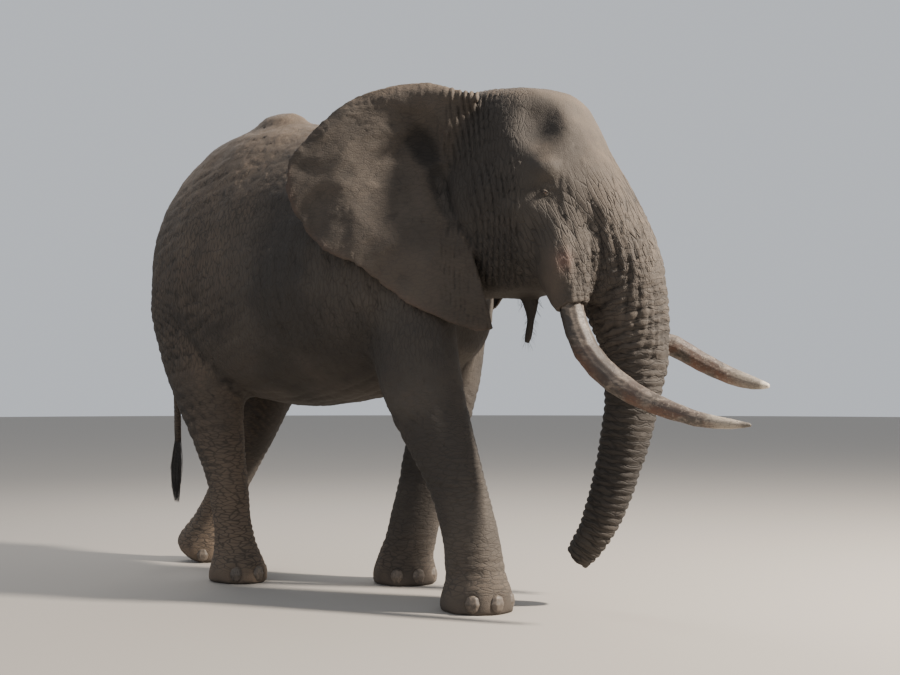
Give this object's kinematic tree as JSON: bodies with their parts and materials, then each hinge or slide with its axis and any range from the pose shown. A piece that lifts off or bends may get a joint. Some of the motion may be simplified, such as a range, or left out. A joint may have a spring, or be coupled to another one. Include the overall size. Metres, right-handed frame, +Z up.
{
  "type": "african elephant model",
  "caption": "Life-size still model of a walking African elephant bull with spread ears, hanging trunk and long tusks.",
  "frame": {"origin": "on the floor, under the middle of the whole model from trunk side to tail and from ear to ear", "axes": "+X is where the animal walks, +Y is its left side, +Z is up; the floor is z = 0"},
  "size_m": [5.1395, 2.1506, 3.4728],
  "materials": {
    "skin": "matte",
    "ivory": "satin",
    "eye": "gloss",
    "nail": "matte",
    "brush": "matte"
  },
  "bodies": {
    "root": {"head": "skin", "jaw": "skin", "lower_lip": "skin", "neck": "skin", "chest": "skin", "barrel": "skin", "rump": "skin", "trunk_1": "skin", "trunk_2": "skin", "trunk_3": "skin", "trunk_4": "skin", "ear_right": "skin", "ear_left": "skin", "tail_upper": "skin", "tail_lower": "skin", "foreleg_right_upper": "skin", "foreleg_right_lower": "skin", "foreleg_right_foot": "skin", "foreleg_left_upper": "skin", "foreleg_left_lower": "skin", "foreleg_left_foot": "skin", "hindleg_right_upper": "skin", "hindleg_right_lower": "skin", "hindleg_right_foot": "skin", "hindleg_left_upper": "skin", "hindleg_left_lower": "skin", "hindleg_left_foot": "skin", "nail_foreleg_right_1": "nail", "nail_foreleg_right_2": "nail", "nail_foreleg_right_3": "nail", "nail_foreleg_right_4": "nail", "nail_foreleg_left_1": "nail", "nail_foreleg_left_2": "nail", "nail_foreleg_left_3": "nail", "nail_foreleg_left_4": "nail", "nail_hindleg_right_1": "nail", "nail_hindleg_right_2": "nail", "nail_hindleg_right_3": "nail", "nail_hindleg_left_1": "nail", "nail_hindleg_left_2": "nail", "nail_hindleg_left_3": "nail", "tusk_right": "ivory", "tusk_left": "ivory", "eye_right": "eye", "eye_left": "eye", "tail_brush": "brush"}
  },
  "joints": []
}
